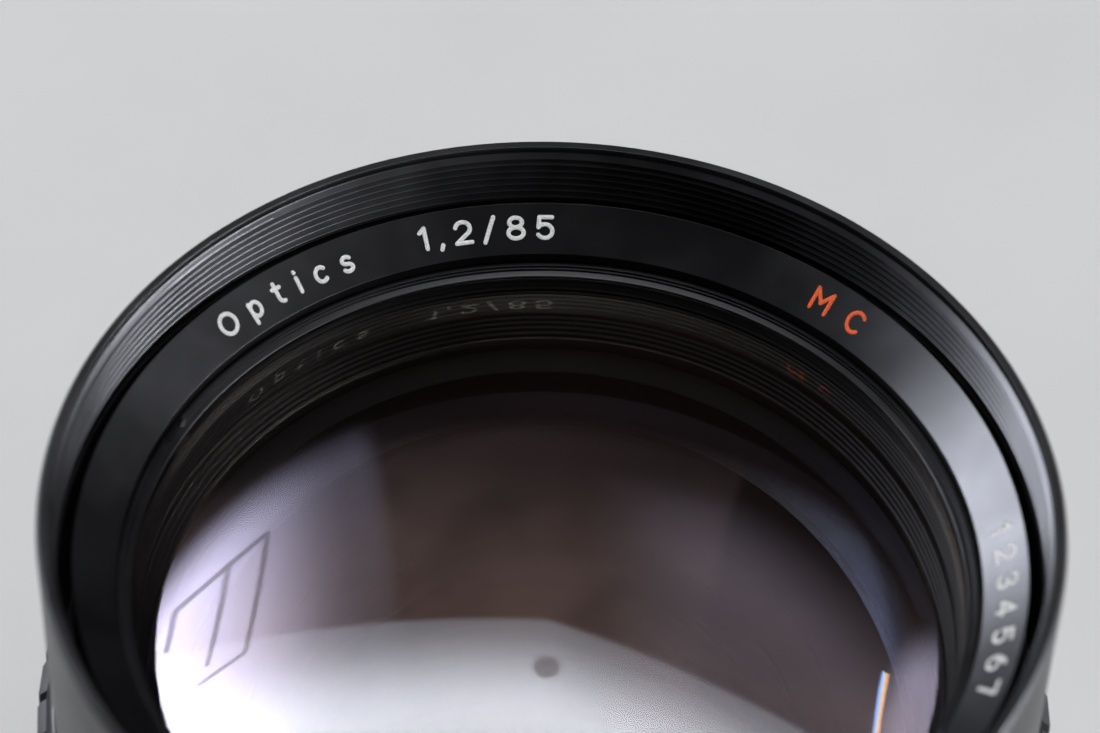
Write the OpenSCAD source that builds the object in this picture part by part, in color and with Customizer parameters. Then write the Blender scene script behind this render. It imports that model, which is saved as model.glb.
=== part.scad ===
// Fast 85 mm manual focus prime lens for a reflex camera, millimetres.
// The origin is the centre of the bayonet flange face; +Z runs along the optical axis to the front.
// The index marks are on the -Y side. Infinity focus and full aperture are the zero positions.

/* [Overall] */
// Flange face to front rim, infinity focus
rim_z = 73;         // [70:0.1:78]
// Outer radius of the front rim
rim_r = 39.5;       // [39:0.05:41]
// Radius of the front barrel where it meets the focus ring
barrel_r = 38.5;    // [38:0.05:39]
// Outer radius of the rubber grip
grip_r = 40;        // [39:0.1:41]
// Radius of the aperture ring
ap_ring_r = 33.6;   // [33:0.1:35]

/* [Filter thread] */
// Pitch of the filter thread
ft_pitch = 0.75;    // [0.75:0.25:1]
// Crest radius of the filter thread, M77
ft_crest_r = 38.09; // [38:0.01:38.2]
// Root radius of the filter thread
ft_root_r = 38.5;   // [38.4:0.01:38.55]
// Number of full crests
ft_turns = 6;       // [4:1:8]

/* [Name ring and front glass] */
// Outer edge radius of the sloping name ring
nr_out_r = 36.85;   // [36:0.05:37.5]
// Inner edge radius of the name ring
nr_in_r = 33.5;     // [33:0.05:34]
// Depth of the outer edge below the rim
nr_out_d = 4.55;    // [3:0.05:6]
// Depth of the inner edge below the rim
nr_in_d = 7.0;      // [6:0.05:8]
// Radius of curvature of the front surface
e1_front = 75;      // [60:1:100]
// Depth of the front glass pole below the rim
e1_pole_d = 1.2;    // [0.5:0.1:3]

/* [Aperture] */
// Number of aperture blades
blade_n = 9;        // [9:1:9]
// Inner radius of a blade, fully open
blade_in = 20;      // [18:0.1:21]
// Outer radius of a blade
blade_out = 29.0;   // [27:0.1:29]
// Blade thickness
blade_t = 0.12;     // [0.08:0.01:0.12]
// Distance from one blade level to the next
blade_step = 0.15;  // [0.13:0.01:0.2]
// Pivot circle radius
pivot_r = 30.2;     // [30:0.1:30.6]
// Turn of the cam ring from open to closed
cam_turn = 45;      // [30:1:45]
// Turn of a blade from open to closed
blade_turn = 35.73; // [20:0.01:36]

/* [Bayonet] */
// Radius of the bayonet flange
flange_r = 32;      // [31:0.1:33]
// Spigot radius
spigot_r = 24;      // [23.5:0.1:24.5]
// Spigot length below the flange face
spigot_l = 5.6;     // [5:0.1:6]
// Radius over the lugs
lug_r = 26;         // [25:0.1:26.5]

/* [Hidden] */
$fn = 96;
kt = blade_turn / cam_turn;
pin_v = [-1.0, -4.2];          // pivot to drive pin, open
lvl0 = 34.3;                   // underside of the lowest blade
tongue_a = 30;                 // cam ring tongue, open
drive_a = 150;                 // aperture ring drive pin, wide open
lever_a = 250;                 // stop-down lever, open
click_a = 310;                 // click ball
slot_a = 155.15;               // spanner slots
screw_as = [30, 100, 225, 285, 340];
e1_pole = rim_z - e1_pole_d;
steel = [0.62, 0.63, 0.65];
black = [0.07, 0.07, 0.075];
brass = [0.72, 0.58, 0.30];
glassc = [0.55, 0.62, 0.72, 0.45];

// ---------- helpers ----------
function rot2(v, a) = [v[0] * cos(a) - v[1] * sin(a), v[0] * sin(a) + v[1] * cos(a)];
function cam_pt(t) = rot2([pivot_r, 0] + rot2(pin_v, kt * t), -t);
function unit(v) = v / norm(v);
function nrm(t) = let (d = unit(cam_pt(t + 0.05) - cam_pt(t - 0.05))) [-d[1], d[0]];

module rev(p) rotate_extrude() polygon(p);
module tube(r1, r0, z0, z1) rev([[r0, z0], [r1, z0], [r1, z1], [r0, z1]]);
module radial(r, r0, r1, z, a)
  rotate([0, 0, a]) translate([r0, 0, z]) rotate([0, 90, 0]) cylinder(r = r, h = r1 - r0);
module post(r, rc, z0, z1, a)
  rotate([0, 0, a]) translate([rc, 0, z0]) cylinder(r = r, h = z1 - z0);
module block(r0, r1, w, z0, z1, a)
  rotate([0, 0, a]) translate([r0, -w / 2, z0]) cube([r1 - r0, w, z1 - z0]);
// pie slice from a0 to a1, flat
module pie(a0, a1, r) {
  n = max(2, ceil((a1 - a0) / 20));
  f = r / cos((a1 - a0) / n / 2);
  polygon(concat([[0, 0]],
    [for (i = [0 : n]) let (a = a0 + (a1 - a0) * i / n) [f * cos(a), f * sin(a)]]));
}
module arc_block(r0, r1, a0, a1, z0, z1)
  translate([0, 0, z0]) linear_extrude(z1 - z0) intersection() {
    difference() { circle(r1); circle(r0); }
    pie(a0, a1, r1 + 1);
  }
// glass: rf > 0 bulges to the front, rb < 0 bulges to the rear; zf and zb are the poles
module blank(rad, zu, zt) translate([0, 0, zu]) cylinder(r = rad, h = zt - zu);
module front_side(rad, zf, rf, zt, zu) {
  if (rf > 0) intersection() { blank(rad, zu, zt); translate([0, 0, zf - rf]) sphere(r = rf); }
  else difference() { blank(rad, zu, zt); translate([0, 0, zf - rf]) sphere(r = -rf); }
}
module back_side(rad, zb, rb, zt, zu) {
  if (rb < 0) intersection() { blank(rad, zu, zt); translate([0, 0, zb - rb]) sphere(r = -rb); }
  else difference() { blank(rad, zu, zt); translate([0, 0, zb - rb]) sphere(r = rb); }
}
module glass(rad, zf, rf, zb, rb, zt, zu) color(glassc) intersection() {
  front_side(rad, zf, rf, zt, zu);
  back_side(rad + 1, zb, rb, zt + 1, zu - 1);
}

// ---------- fixed barrel ----------
module bayonet_mount() color(steel) difference() {
  union() {
    rev([[22.2, -spigot_l], [spigot_r - 0.2, -spigot_l], [spigot_r, -spigot_l + 0.2],
      [spigot_r, 0], [flange_r - 0.3, 0], [flange_r, 0.3], [flange_r, 3.6],
      [flange_r - 0.4, 4], [22.2, 4]]);
    for (a = [0, 120, 240])
      arc_block(spigot_r - 0.5, lug_r, a + 5, a + 59, -5.2, -3.6);
  }
  for (a = screw_as) {
    post(0.8, 29.7, -1, 5, a);
    post(1.5, 29.7, -1, 1.0, a);
  }
  post(1.3, 27.5, -1, 2.2, 195);
  radial(0.95, 31.2, 33, 2, 270);
}
module mount_screws() color(steel) for (a = screw_as) difference() {
  union() {
    post(1.4, 29.7, 0.15, 0.98, a);
    post(0.72, 29.7, 0.9, 9, a);
  }
  rotate([0, 0, a]) translate([29.7, 0, 0]) {
    cube([0.28, 2, 0.9], center = true);
    cube([2, 0.28, 0.9], center = true);
  }
}
module mount_index_dot() color([0.8, 0.1, 0.05]) radial(0.9, 31.3, 32.1, 2, 270);
module main_barrel() color(black) difference() {
  rev(concat(
    [[28.6, 4.02], [31, 4.02], [31, 14.6], [36.4, 14.6], [36.4, 24]],
    [for (k = [0 : 21]) each [[36.4, 24.3 + k], [36.0, 24.45 + k], [36.0, 24.75 + k], [36.4, 24.9 + k]]],
    [[36.4, 47.2], [36.2, 47.5], [35.05, 47.5], [35.05, 17], [28.6, 17]]));
  arc_block(28, 32, drive_a - 3, drive_a + cam_turn + 3, 4.5, 6.1);
  for (a = screw_as) post(0.75, 29.7, 3, 9.2, a);
  radial(0.85, 29.2, 32, 10, click_a);
  for (a = [0, 180], z = [19.6, 22.6]) {
    radial(0.62, 34, 37, z, a);
    radial(1.05, 35.85, 37, z, a);
  }
  for (a = [45, 165, 285]) radial(0.55, 35.9, 37, 16.2, a);
}
module guide_keys() color(brass) for (a = [0, 180]) difference() {
  intersection() {
    block(34.2, 36, 5, 18.7, 34, a);
    translate([0, 0, 18]) cylinder(r = 35.03, h = 17);
  }
  for (z = [19.6, 22.6]) radial(0.62, 34, 36, z, a);
}
module key_screws() color(steel) for (a = [0, 180], z = [19.6, 22.6]) {
  radial(0.58, 34.25, 36, z, a);
  radial(1.0, 35.9, 36.3, z, a);
}
module depth_scale_ring() color(black) difference() {
  rev([[36.45, 14.8], [36.7, 14.8], [37.4, 15.6], [37.4, 22.0], [37.2, 22.2], [36.45, 22.2]]);
  for (a = [45, 165, 285]) radial(0.55, 36, 38, 16.2, a);
  radial(0.95, 36.85, 38, 20, 270);
}
module scale_ring_screws() color(steel) for (a = [45, 165, 285]) difference() {
  radial(0.5, 36, 37.25, 16.2, a);
  block(37.05, 38, 0.2, 15.6, 16.8, a);
}
module index_bead() color([0.9, 0.25, 0.05]) radial(0.9, 36.9, 37.5, 20, 270);
module click_ball() color(steel) rotate([0, 0, click_a]) translate([30.5, 0, 10]) sphere(r = 0.8);
module click_spring() color(steel) rotate([0, 0, click_a]) translate([29.3, 0, 10]) rotate([0, 90, 0])
  for (k = [0 : 1]) translate([0, 0, 0.09 + k * 0.2]) rotate_extrude() translate([0.6, 0]) circle(r = 0.08, $fn = 16);

// ---------- lens unit ----------
module lens_tube() color(black) difference() {
  rev([[34.15, 18.6], [35, 18.6], [35, 51.3], [37.9, 51.3], [37.9, 53], [34.15, 53]]);
  for (a = [0, 180]) block(33, 36, 5.1, 18, 34.6, a);
  for (a = [100, 220, 340]) radial(0.52, 33, 36, 33.4, a);
  for (a = [60, 180, 300]) radial(0.47, 36.9, 39, 52.15, a);
}
module front_barrel() color(black) difference() {
  rev(concat(
    [[37.95, 51.5], [barrel_r, 51.5], [38.9, 58], [rim_r, rim_z - 0.35], [rim_r - 0.22, rim_z],
     [38.68, rim_z], [38.6, rim_z - 0.5], [38.14, rim_z - 0.9], [38.14, rim_z - 1.0],
     [38.42, rim_z - 1.14], [38.42, rim_z - 1.2]],
    [for (k = [0 : ft_turns - 1]) let (z = rim_z - 1.545 - k * ft_pitch) each
      [[ft_crest_r, z + 0.08], [ft_crest_r, z - 0.08], [ft_root_r, z - 0.34], [ft_root_r, z - 0.41]]],
    [[38.6, 67.1], [38.6, 66.2], [38.0, 65.8], [38.0, 55.2], [36.86, 55.2], [36.86, 53.05], [37.95, 53.05]]));
  for (a = [60, 180, 300]) radial(0.5, 37, 39, 52.15, a);
}
module barrel_set_screws() color(steel) for (a = [60, 180, 300]) difference() {
  radial(0.45, 37.0, 38.4, 52.15, a);
  block(38.2, 39, 0.18, 51.6, 52.7, a);
}
module front_cell() color(black) rev([
  [25.95, 38.8], [34.1, 38.8], [34.1, 53.02], [36.8, 53.02], [36.8, 60.5], [35.0, 60.5],
  [35.0, 65.0], [33.36, 65.0], [33.36, 60.1], [31.85, 60.1], [31.85, 52.2], [28.65, 52.2],
  [28.65, 46.2], [24.65, 46.2], [24.65, 40.15], [25.95, 40.15]]);
module name_ring() color(black) rev([
  [35.05, 60.55], [nr_out_r, 60.55], [nr_out_r, rim_z - nr_out_d - 0.06],
  [nr_out_r - 0.08, rim_z - nr_out_d], [nr_in_r + 0.06, rim_z - nr_in_d],
  [nr_in_r, rim_z - nr_in_d - 0.06], [nr_in_r, 65.15], [35.05, 65.15]]);
module front_retaining_ring() color(black) difference() {
  rev([[33.34, 64.02], [33.34, 65.1], [33.08, 65.1], [33.0, 64.92], [32.78, 64.62], [32.36, 64.52], [32.36, 64.48]]);
  for (a = [0, 180]) block(32, 34, 2.15, 64.66, 66, slot_a + a);
}
module element_1() glass(33.3, e1_pole, e1_front, e1_pole - 9.8, 300, e1_pole + 0.1, 60.14);
module baffle_ring() color(black) rev(concat(
  [[31.8, 52.22], [31.8, 60.05], [31.2, 60.05]],
  [for (k = [0 : 7]) each [[31.2 - 0.4 * k, 59.45 - 0.93 * k], [30.8 - 0.4 * k, 59.12 - 0.93 * k]]],
  [[27.95, 51.95], [28.6, 51.95], [28.6, 52.22]]));
module element_2() glass(28.6, 61.2, 46, 51.7, 78, 61.4, 46.25);
module element_3() glass(24.6, 51.2, 84, 48.8, 27.5, 51.4, 40.2);
module element_3_retainer() color(black) difference() {
  rev([[20.7, 38.85], [25.9, 38.85], [25.9, 40.12], [20.7, 40.12], [20.3, 39.6]]);
  for (a = [0, 180]) block(22, 26.5, 1.6, 38, 39.4, a);
}
module diaphragm_base() color(black) difference() {
  tube(34.12, 20.1, 32.6, 34.2);
  arc_block(32.9, 35, tongue_a - 4, tongue_a + cam_turn + 4, 32, 35);
  for (i = [0 : blade_n - 1]) post(0.5, pivot_r, 33.0, 35, i * 360 / blade_n);
  for (a = [100, 220, 340]) radial(0.52, 33.3, 36, 33.4, a);
  for (a = [10, 130, 250]) post(0.75, 26, 32, 34.0, a);
}
module diaphragm_screws() color(steel) for (a = [100, 220, 340]) radial(0.48, 33.35, 34.95, 33.4, a);
module diaphragm_cover() color(black)
  rev([[19.35, 36.88], [34.1, 36.88], [34.1, 38.75], [31.5, 38.75], [31.5, 37.6], [19.6, 37.6], [19.35, 37.2]]);
module rear_cell() color(black) difference() {
  rev([[19.05, -3.6], [20.3, -3.6], [20.3, 10.5], [22.6, 11.2], [22.6, 31.95], [29, 31.95], [29, 32.55],
    [20.05, 32.55], [20.05, 18.0], [19.3, 17.5], [18.8, 16.0], [18.8, 12.6], [18.4, 12.1], [19.05, 11.8]]);
  for (a = [10, 130, 250]) { post(1.45, 26, 31, 32.3, a); post(0.75, 26, 31, 34, a); }
  for (a = [90, 210, 330]) block(17, 21, 1.66, 2.85, 5.95, a);
}
module cell_screws() color(steel) for (a = [10, 130, 250]) { post(1.38, 26, 31.97, 32.28, a); post(0.7, 26, 32.2, 33.9, a); }
module element_4() glass(20, 25.62, -30, 23.4, 90, 32.4, 21.0);
module element_5() glass(20, 23.385, 90, 13.0, -42, 23.5, 12.9);
module element_4_retainer() color(black) difference() {
  tube(20.0, 19.05, 32.43, 33.5);
  for (a = [0, 180]) block(18, 21, 1.4, 33.1, 34, a);
}
module element_6() glass(19, 12.6, 200, 7.3, -60, 12.7, 7.2);
module element_6_retainer() color(black)
  rev([[17.9, 9.2], [19.0, 9.2], [19.0, 10.3], [18.3, 10.05], [17.9, 9.75]]);
module focus_retainer() color(brass) difference() {
  tube(36.95, 35.03, 48.2, 49.6);
  for (a = [90, 270]) block(36, 38, 1.6, 48, 48.9, a);
}

// ---------- floating rear group ----------
module floating_cell() color(black) difference() {
  rev([[17.65, -4.2], [19.0, -4.2], [19.0, 7.0], [17.3, 7.0], [16.7, 6.2], [16.7, 4.62], [17.65, 4.62]]);
  for (a = [90, 210, 330]) radial(0.82, 18.3, 20, 4.9, a);
}
module float_pins() color(brass) for (a = [90, 210, 330]) radial(0.78, 18.35, 20.2, 4.9, a);
module element_7() glass(17.6, 6.6, 68, 2.1, -300, 6.7, 2.0);
module spacer_ring() color(black) tube(17.6, 16.6, 1.65, 2.5);
module element_8() glass(17.6, -0.49, -75, -2.5, -800, 1.6, -2.6);
module rear_retaining_ring() color(black) difference() {
  rev([[16.4, -3.5], [16.9, -3.7], [17.6, -3.7], [17.6, -2.4], [16.4, -2.4]]);
  for (a = [0, 180]) block(16, 18, 1.4, -4, -3.2, a);
}

// ---------- focus ring ----------
module focus_ring() color(black) difference() {
  rev([[36.5, 22.5], [37.8, 22.5], [38.0, 22.7], [38.0, 31.2], [38.4, 31.6], [38.4, 49.5],
    [38.9, 49.5], [38.9, 51.0], [38.7, 51.2], [35.1, 51.2], [35.1, 49.68], [37.25, 49.68],
    [37.25, 24], [36.5, 24]]);
  for (a = [30, 150, 270]) radial(0.5, 37, 39, 23.3, a);
}
module skirt_screws() color(steel) for (a = [30, 150, 270]) difference() {
  radial(0.45, 37.05, 37.9, 23.3, a);
  block(37.7, 39, 0.18, 22.6, 24, a);
}
module rubber_grip() color([0.05, 0.05, 0.05]) rev(concat(
  [[38.43, 31.7], [39.6, 31.7], [grip_r - 0.1, 31.95]],
  [for (k = [0 : 5]) let (z = 31.95 + k * 2.9) each
    [[grip_r, z + 0.1], [grip_r, z + 2.1], [grip_r - 0.7, z + 2.25], [grip_r - 0.7, z + 2.75]]],
  [[39.6, 49.4], [38.43, 49.4]]));
module helicoid_bush() color(brass) rev(concat(
  [[37.22, 24.05], [37.22, 46.5], [36.45, 46.5]],
  [for (k = [21 : -1 : 0]) each [[36.45, 24.95 + k], [36.8, 24.8 + k], [36.8, 24.5 + k], [36.45, 24.35 + k]]],
  [[36.45, 24.05]]));

// ---------- aperture ring and stop-down drive ----------
module aperture_ring() color(black) difference() {
  rev([[31.05, 4.2], [ap_ring_r - 0.3, 4.2], [ap_ring_r, 4.5], [ap_ring_r, 9.8], [ap_ring_r - 0.4, 10.2],
    [ap_ring_r - 0.7, 14.2], [ap_ring_r - 0.9, 14.4], [31.05, 14.4],
    [31.05, 10.9], [31.4, 10.9], [31.4, 9.1], [31.05, 9.1]]);
  for (i = [0 : 29]) post(1.5, ap_ring_r + 1.0, 5.2, 9.2, i * 12 + 6);
  for (k = [0 : 7]) post(0.7, 31.3, 9.3, 10.7, click_a - k * cam_turn / 7);
  radial(0.62, 30, 32.8, 5.3, drive_a);
}
module aperture_drive_pin() color(steel) radial(0.6, 27.2, 32.7, 5.3, drive_a);
module stop_down_ring() color(steel) difference() {
  union() {
    tube(28.52, 24.4, 4.3, 6.3);
    for (s = [-1, 1]) rotate([0, 0, tongue_a]) translate([26.2, s * 2.35 - 0.8, 6.2]) cube([2.0, 1.6, 11.3]);
    block(20.9, 24.6, 3, 4.3, 5.3, lever_a);
    intersection() {
      block(20.9, 23, 3, -5, 5.3, lever_a);
      translate([0, 0, -6]) cylinder(r = 22.05, h = 12);
    }
  }
  radial(0.65, 27, 30, 5.3, drive_a);
}
module cam_ring() color(steel) {
  translate([0, 0, 35.78]) linear_extrude(1.0) difference() {
    circle(34.1);
    circle(21);
    for (i = [0 : blade_n - 1]) rotate(i * 360 / blade_n) polygon(concat(
      [for (t = [-1.5 : 1.5 : cam_turn + 1.5]) cam_pt(t) + 0.45 * nrm(t)],
      [for (t = [cam_turn + 1.5 : -1.5 : -1.5]) cam_pt(t) - 0.45 * nrm(t)]));
  }
  block(33.05, 34.0, 3, 30.8, 36, tongue_a);
  block(26.3, 34.0, 3, 30.8, 31.8, tongue_a);
  block(26.3, 27.6, 3, 6.6, 31.8, tongue_a);
}
module blade(i) color([0.16, 0.16, 0.17]) rotate([0, 0, i * 360 / blade_n]) {
  z = lvl0 + i * blade_step;
  translate([0, 0, z]) linear_extrude(blade_t) union() {
    intersection() {
      difference() { circle(blade_out); circle(blade_in); }
      pie(-4, 118, blade_out + 1);
    }
    rotate(118) translate([(blade_in + blade_out) / 2, 0]) circle((blade_out - blade_in) / 2);
    translate([pivot_r, 0]) circle(1.1);
    translate([27.5, -1.3]) square([2.7, 2.6]);
    translate([pivot_r, 0]) rotate(atan2(pin_v[1], pin_v[0])) translate([0, -0.6]) square([norm(pin_v), 1.2]);
    translate([pivot_r + pin_v[0], pin_v[1]]) circle(0.62);
  }
  translate([pivot_r, 0, 33.2]) cylinder(r = 0.45, h = z - 33.2 + blade_t);
  translate([pivot_r + pin_v[0], pin_v[1], z]) cylinder(r = 0.4, h = 36.6 - z);
}
module blade_1() blade(0);
module blade_2() blade(1);
module blade_3() blade(2);
module blade_4() blade(3);
module blade_5() blade(4);
module blade_6() blade(5);
module blade_7() blade(6);
module blade_8() blade(7);
module blade_9() blade(8);

bayonet_mount();
mount_screws();
mount_index_dot();
main_barrel();
guide_keys();
key_screws();
depth_scale_ring();
scale_ring_screws();
index_bead();
click_ball();
click_spring();
lens_tube();
front_barrel();
barrel_set_screws();
front_cell();
name_ring();
front_retaining_ring();
element_1();
baffle_ring();
element_2();
element_3();
element_3_retainer();
diaphragm_base();
diaphragm_screws();
diaphragm_cover();
rear_cell();
cell_screws();
element_4();
element_5();
element_4_retainer();
element_6();
element_6_retainer();
focus_retainer();
floating_cell();
float_pins();
element_7();
spacer_ring();
element_8();
rear_retaining_ring();
focus_ring();
rubber_grip();
helicoid_bush();
skirt_screws();
aperture_ring();
aperture_drive_pin();
stop_down_ring();
cam_ring();
blade_1();
blade_2();
blade_3();
blade_4();
blade_5();
blade_6();
blade_7();
blade_8();
blade_9();
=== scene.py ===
"""Looks for the prime lens: pieces, materials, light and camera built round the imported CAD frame.

Lengths are in millimetres until a mesh is made, heights are measured from the flange, and +Z is the front.
"""
import math
import bpy
import bmesh
import numpy as np
from mathutils import Vector, Matrix

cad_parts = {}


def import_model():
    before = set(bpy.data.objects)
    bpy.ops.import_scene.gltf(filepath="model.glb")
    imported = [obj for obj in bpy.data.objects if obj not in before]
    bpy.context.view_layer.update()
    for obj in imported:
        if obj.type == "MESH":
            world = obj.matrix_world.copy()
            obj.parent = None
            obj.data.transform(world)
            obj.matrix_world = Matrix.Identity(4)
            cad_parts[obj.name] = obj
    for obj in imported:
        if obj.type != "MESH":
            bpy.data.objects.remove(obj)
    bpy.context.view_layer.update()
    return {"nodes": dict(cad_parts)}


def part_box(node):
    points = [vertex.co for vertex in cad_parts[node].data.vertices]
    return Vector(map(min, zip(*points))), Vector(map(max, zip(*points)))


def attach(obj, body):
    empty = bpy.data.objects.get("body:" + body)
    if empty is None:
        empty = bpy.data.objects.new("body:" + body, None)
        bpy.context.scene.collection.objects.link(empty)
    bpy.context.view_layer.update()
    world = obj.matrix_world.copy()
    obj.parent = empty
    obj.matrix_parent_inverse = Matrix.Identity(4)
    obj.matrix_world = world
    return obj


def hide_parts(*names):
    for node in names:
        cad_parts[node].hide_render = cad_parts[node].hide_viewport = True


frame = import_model()
MM = 0.001


def extent(node):
    """Lowest point, highest point and outer radius of a CAD node, in mm."""
    low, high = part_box(node)
    return tuple(round(length / MM, 3) for length in (low.z, high.z, high.x))


BARREL_LOW, RIM, RIM_R = extent("front_barrel")       # RIM is the height of the front rim
CENTRE = Vector((0, 0, RIM * MM))                     # middle of the front rim, in metres
FLOOR_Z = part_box("bayonet_mount")[0].z                # the lens stands on its mount
FRONT = 270                                           # angle of the index marks, in degrees

# ------------------------------------------------------------------ shader nodes


def wire(tree, socket, value):
    """Links the socket to another, or sets its value."""
    if isinstance(value, bpy.types.NodeSocket):
        tree.links.new(value, socket)
    else:
        socket.default_value = value


class Nodes:
    """Short-hand builders for the nodes of one tree."""

    def __init__(self, tree):
        self.t = tree

    def math(self, op, a, b=0.0, c=0.0):
        node = self.t.nodes.new("ShaderNodeMath")
        node.operation = op
        for socket, value in zip(node.inputs, (a, b, c)):
            wire(self.t, socket, value)
        return node.outputs[0]

    def vector(self, op, **inputs):
        """Inputs are given by number, as i0 and i1, or by name."""
        node = self.t.nodes.new("ShaderNodeVectorMath")
        node.operation = op
        for key, value in inputs.items():
            wire(self.t, node.inputs[int(key[1:]) if key[1:].isdigit() else key], value)
        return node.outputs[0]

    def ramp(self, fac, lo, hi, a=0.0, b=1.0, kind="LINEAR"):
        """Maps fac from lo..hi to a..b."""
        node = self.t.nodes.new("ShaderNodeMapRange")
        node.interpolation_type = kind
        wire(self.t, node.inputs["Value"], fac)
        for key, value in (("From Min", lo), ("From Max", hi), ("To Min", a), ("To Max", b)):
            node.inputs[key].default_value = value
        return node.outputs["Result"]

    def noise(self, place, scale, detail, roughness=0.5):
        node = self.t.nodes.new("ShaderNodeTexNoise")
        inputs = {"Vector": place, "Scale": scale, "Detail": detail, "Roughness": roughness}
        for key, value in inputs.items():
            wire(self.t, node.inputs[key], value)
        return node.outputs["Fac"]

    def mix_shader(self, fac, first, second):
        node = self.t.nodes.new("ShaderNodeMixShader")
        for socket, value in zip(node.inputs, (fac, first, second)):
            self.t.links.new(value, socket)
        return node.outputs[0]


class Mat(Nodes):
    """A material with a Principled shader."""

    def __init__(self, name, color, rough=0.5, metal=0.0, spec=0.5):
        self.m = bpy.data.materials.new(name)
        self.m.use_nodes = True
        super().__init__(self.m.node_tree)
        self.b = self.t.nodes["Principled BSDF"]
        self.b.inputs["Base Color"].default_value = (*color, 1)
        self.b.inputs["Roughness"].default_value = rough
        self.b.inputs["Metallic"].default_value = metal
        self.b.inputs["Specular IOR Level"].default_value = spec
        self.place = self.t.nodes.new("ShaderNodeTexCoord").outputs["Object"]

    def turned(self, per_mm, along=3.0):
        """Noise drawn out round the axis, as a lathe tool leaves it."""
        split = self.t.nodes.new("ShaderNodeSeparateXYZ")
        self.t.links.new(self.place, split.inputs[0])
        x, y, z = split.outputs
        squares = self.math("ADD", self.math("MULTIPLY", x, x), self.math("MULTIPLY", y, y))
        radius = self.math("SQRT", squares)
        angle = self.math("ARCTAN2", y, x)
        place = self.t.nodes.new("ShaderNodeCombineXYZ")
        for socket, value in zip(place.inputs, (self.math("MULTIPLY", radius, per_mm / MM),
                                                self.math("MULTIPLY", z, per_mm / MM),
                                                self.math("MULTIPLY", self.math("SINE", angle), along))):
            self.t.links.new(value, socket)
        return self.noise(place.outputs[0], 1.0, 3.0, 0.6)

    def grain(self, per_mm, detail=2.0):
        return self.noise(self.place, per_mm / MM, detail, 0.6)

    def tone(self, fac, first, second):
        """Base colour that runs from one colour to another."""
        node = self.t.nodes.new("ShaderNodeMix")
        node.data_type = "RGBA"
        factor, color_a, color_b = node.inputs[0], node.inputs[6], node.inputs[7]
        self.t.links.new(fac, factor)
        color_a.default_value = (*first, 1)
        color_b.default_value = (*second, 1)
        self.t.links.new(node.outputs[2], self.b.inputs["Base Color"])

    def rough(self, fac, lo, hi, a, b):
        self.t.links.new(self.ramp(fac, lo, hi, a, b), self.b.inputs["Roughness"])

    def bump(self, *layers):
        """layers are (height socket, distance in mm); they stack."""
        last = None
        for height, distance in layers:
            node = self.t.nodes.new("ShaderNodeBump")
            self.t.links.new(height, node.inputs["Height"])
            node.inputs["Distance"].default_value = distance * MM
            node.inputs["Strength"].default_value = 1.0
            if last is not None:
                self.t.links.new(last, node.inputs["Normal"])
            last = node.outputs[0]
        self.t.links.new(last, self.b.inputs["Normal"])


# ------------------------------------------------------------------ materials


def scaled(color, factor):
    return tuple(c * factor for c in color)


def black_metal(name, color=(0.005, 0.005, 0.0058), rough=0.36, grain_mm=0.004, lathe_mm=0.0015, spec=0.5):
    """Anodised or enamelled black: a fine grain over faint lathe marks, with soft blotches."""
    m = Mat(name, color, rough, 0.0, spec)
    fine = m.grain(7.0)
    blotch = m.grain(0.12, 3.0)
    m.tone(m.ramp(blotch, 0.3, 0.7), scaled(color, 0.8), scaled(color, 1.3))
    m.rough(blotch, 0.3, 0.7, rough - 0.04, rough + 0.05)
    m.bump((fine, grain_mm), (m.turned(8.0), lathe_mm))
    return m.m


def metal(name, color, rough):
    """Bright metal with turning marks."""
    m = Mat(name, color, rough, 1.0)
    marks = m.turned(9.0, 2.0)
    m.rough(marks, 0.3, 0.7, rough * 0.75, rough * 1.3)
    m.tone(m.ramp(m.grain(0.4), 0.35, 0.65), scaled(color, 0.9), color)
    m.bump((marks, 0.0015))
    m.b.inputs["Anisotropic"].default_value = 0.4
    return m.m


def paint(name, color, rough=0.45):
    """Filling paint, a little uneven where it sank into the cut."""
    m = Mat(name, color, rough, 0.0, 0.25)
    uneven = m.grain(11.0, 3.0)
    m.tone(m.ramp(uneven, 0.35, 0.6), scaled(color, 0.6), color)
    m.bump((uneven, 0.015))
    return m.m


def glass(name, ior, film_nm, film_ior, open_to_shadow):
    """Coated glass: a thin film gives the coating's colour. Shadow rays may pass straight through."""
    m = Mat(name, (1, 1, 1), 0.0)
    m.b.inputs["IOR"].default_value = ior
    m.b.inputs["Transmission Weight"].default_value = 1.0
    m.b.inputs["Thin Film Thickness"].default_value = film_nm
    m.b.inputs["Thin Film IOR"].default_value = film_ior
    smear = m.grain(0.05, 2.0)
    m.rough(smear, 0.35, 0.75, 0.0, 0.012)
    if open_to_shadow:
        path = m.t.nodes.new("ShaderNodeLightPath")
        clear = m.t.nodes.new("ShaderNodeBsdfTransparent")
        clear.inputs[0].default_value = (0.92, 0.9, 0.88, 1)
        both = m.mix_shader(path.outputs["Is Shadow Ray"], m.b.outputs[0], clear.outputs[0])
        m.t.links.new(both, m.t.nodes["Material Output"].inputs["Surface"])
    return m.m


def rubber():
    """Matt rubber with dusty patches."""
    m = Mat("rubber", (0.016, 0.016, 0.017), 0.62, 0.0, 0.45)
    pores = m.grain(6.0, 3.0)
    dust = m.grain(0.25, 3.0)
    m.tone(m.ramp(dust, 0.4, 0.75), (0.014, 0.014, 0.015), (0.026, 0.026, 0.027))
    m.rough(dust, 0.3, 0.7, 0.55, 0.72)
    m.bump((pores, 0.012), (m.grain(20.0), 0.003))
    return m.m


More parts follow.
